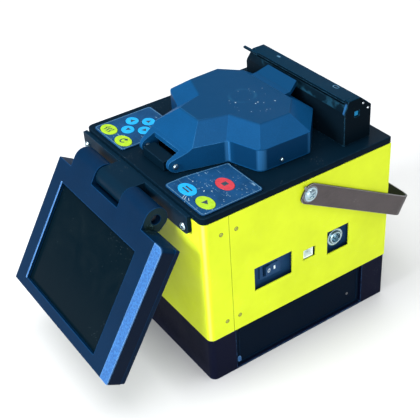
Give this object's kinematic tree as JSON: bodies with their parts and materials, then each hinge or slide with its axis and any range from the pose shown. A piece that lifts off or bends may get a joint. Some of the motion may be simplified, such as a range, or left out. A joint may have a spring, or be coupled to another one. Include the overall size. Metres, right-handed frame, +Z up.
{
  "type": "fibre fusion splicer",
  "caption": "Box-shaped fibre fusion splicer with a front tilting monitor, hinged wind cover, tube heater, membrane keypads and a swinging carry handle.",
  "frame": {"origin": "centre of the base tray's underside, on the surface it stands on", "axes": "+X to the side with the rocker switch and the sockets, +Y to the back where the heater is, +Z up; the monitor hangs at the front, -Y"},
  "size_m": [0.1698, 0.2799, 0.1862],
  "materials": {
    "yellow_paint": "satin bright yellow-green powder coat",
    "black_paint": "satin black paint",
    "cover_plastic": "matt slate-blue moulded plastic",
    "monitor_plastic": "matt dark slate-blue moulded plastic",
    "strip_plastic": "pale blue finely textured plastic",
    "screen_glass": "dark display window, switched off",
    "keypad_film": "dark blue printed keypad film with a pale outline",
    "key_yellow_green": "yellow-green key",
    "key_light_blue": "light blue key",
    "key_red": "red key",
    "chrome": "bright plated metal",
    "steel": "plain steel",
    "aluminium": "machined aluminium",
    "strap_paint": "brown-grey coated steel strap",
    "socket_plastic": "white socket moulding",
    "circuit_board": "green circuit board",
    "ceramic": "off-white ceramic",
    "battery_plastic": "dark moulded plastic"
  },
  "bodies": {
    "chassis": {"base_tray": "black_paint", "bracket_screw_left": "chrome", "bracket_screw_right": "chrome", "chassis_floor": "steel", "cover_hinge_block": "black_paint", "cover_pin_left": "chrome", "cover_pin_right": "chrome", "dc_jack": "chrome", "dc_jack_nut": "chrome", "electrode_front": "steel", "electrode_rear": "steel", "fibre_stage_left": "aluminium", "fibre_stage_right": "aluminium", "front_cover": "yellow_paint", "handle_screw_left": "chrome", "handle_screw_right": "chrome", "heater_base": "black_paint", "heater_trough": "aluminium", "high_voltage_module": "battery_plastic", "inner_frame_front": "steel", "inner_frame_rear": "steel", "keypad_left": "keypad_film", "keypad_right": "keypad_film", "mainboard": "circuit_board", "monitor_bracket": "black_paint", "monitor_hinge_pin": "steel", "objective_front": "black_paint", "objective_rear": "black_paint", "port_panel": "black_paint", "power_board": "circuit_board", "rear_panel": "yellow_paint", "side_panel_left": "yellow_paint", "side_panel_right": "yellow_paint", "splice_frame": "aluminium", "switch_housing": "black_paint", "top_deck": "black_paint", "usb_socket": "socket_plastic", "vgroove_block": "ceramic"},
    "monitor": {"monitor_bezel": "monitor_plastic", "monitor_back": "monitor_plastic", "monitor_strip": "strip_plastic", "screen_window": "screen_glass", "lcd_panel": "screen_glass"},
    "wind_cover": {"wind_cover": "cover_plastic", "cover_catch": "chrome"},
    "heater_lid": {"heater_lid": "black_paint"},
    "carry_handle": {"carry_handle": "strap_paint"},
    "rocker": {"rocker_button": "black_paint"},
    "battery": {"battery_pack": "battery_plastic"},
    "clamp_lid_right": {"clamp_lid_right": "aluminium"},
    "clamp_lid_left": {"clamp_lid_left": "aluminium"},
    "key_menu": {"key_menu": "key_light_blue"},
    "key_stop": {"key_stop": "key_red"},
    "key_start": {"key_start": "key_yellow_green"},
    "key_heat": {"key_heat": "key_yellow_green"},
    "key_reset": {"key_reset": "key_yellow_green"},
    "key_arrow_1": {"key_arrow_1": "key_light_blue"},
    "key_arrow_2": {"key_arrow_2": "key_light_blue"},
    "key_arrow_3": {"key_arrow_3": "key_light_blue"},
    "key_arrow_4": {"key_arrow_4": "key_light_blue"}
  },
  "joints": [
    {"name": "monitor_tilt", "type": "hinge", "parent": "chassis", "child": "monitor", "pos_m": [0, -0.1006, 0.139], "axis": [-1, 0, 0], "range_deg": [-20, 90]},
    {"name": "cover_open", "type": "hinge", "parent": "chassis", "child": "wind_cover", "pos_m": [0, -0.067, 0.156], "axis": [1, 0, 0], "range_deg": [0, 100]},
    {"name": "heater_lid_open", "type": "hinge", "parent": "chassis", "child": "heater_lid", "pos_m": [0, 0.073, 0.1771], "axis": [-1, 0, 0], "range_deg": [0, 90]},
    {"name": "handle_swing", "type": "hinge", "parent": "chassis", "child": "carry_handle", "pos_m": [0, 0.0062, 0.1334], "axis": [1, 0, 0], "range_deg": [-6, 150]},
    {"name": "rocker_tip", "type": "hinge", "parent": "chassis", "child": "rocker", "pos_m": [0.0735, -0.02625, 0.0778], "axis": [0, 0, -1], "range_deg": [0, 16]},
    {"name": "battery_slide", "type": "slide", "parent": "chassis", "child": "battery", "axis": [1, 0, 0], "range_m": [0, 0.06]},
    {"name": "clamp_right_open", "type": "hinge", "parent": "chassis", "child": "clamp_lid_right", "pos_m": [0, 0.0165, 0.157], "axis": [-1, 0, 0], "range_deg": [0, 80]},
    {"name": "clamp_left_open", "type": "hinge", "parent": "chassis", "child": "clamp_lid_left", "pos_m": [0, 0.0165, 0.157], "axis": [-1, 0, 0], "range_deg": [0, 80]},
    {"name": "key_menu_press", "type": "slide", "parent": "chassis", "child": "key_menu", "axis": [0, 0, -1], "range_m": [0, 0.0004], "stiffness_N_per_m": 1500},
    {"name": "key_stop_press", "type": "slide", "parent": "chassis", "child": "key_stop", "axis": [0, 0, -1], "range_m": [0, 0.0004], "stiffness_N_per_m": 1500},
    {"name": "key_start_press", "type": "slide", "parent": "chassis", "child": "key_start", "axis": [0, 0, -1], "range_m": [0, 0.0004], "stiffness_N_per_m": 1500},
    {"name": "key_heat_press", "type": "slide", "parent": "chassis", "child": "key_heat", "axis": [0, 0, -1], "range_m": [0, 0.0004], "stiffness_N_per_m": 1500},
    {"name": "key_reset_press", "type": "slide", "parent": "chassis", "child": "key_reset", "axis": [0, 0, -1], "range_m": [0, 0.0004], "stiffness_N_per_m": 1500},
    {"name": "key_arrow_1_press", "type": "slide", "parent": "chassis", "child": "key_arrow_1", "axis": [0, 0, -1], "range_m": [0, 0.0004], "stiffness_N_per_m": 1500},
    {"name": "key_arrow_2_press", "type": "slide", "parent": "chassis", "child": "key_arrow_2", "axis": [0, 0, -1], "range_m": [0, 0.0004], "stiffness_N_per_m": 1500},
    {"name": "key_arrow_3_press", "type": "slide", "parent": "chassis", "child": "key_arrow_3", "axis": [0, 0, -1], "range_m": [0, 0.0004], "stiffness_N_per_m": 1500},
    {"name": "key_arrow_4_press", "type": "slide", "parent": "chassis", "child": "key_arrow_4", "axis": [0, 0, -1], "range_m": [0, 0.0004], "stiffness_N_per_m": 1500}
  ]
}
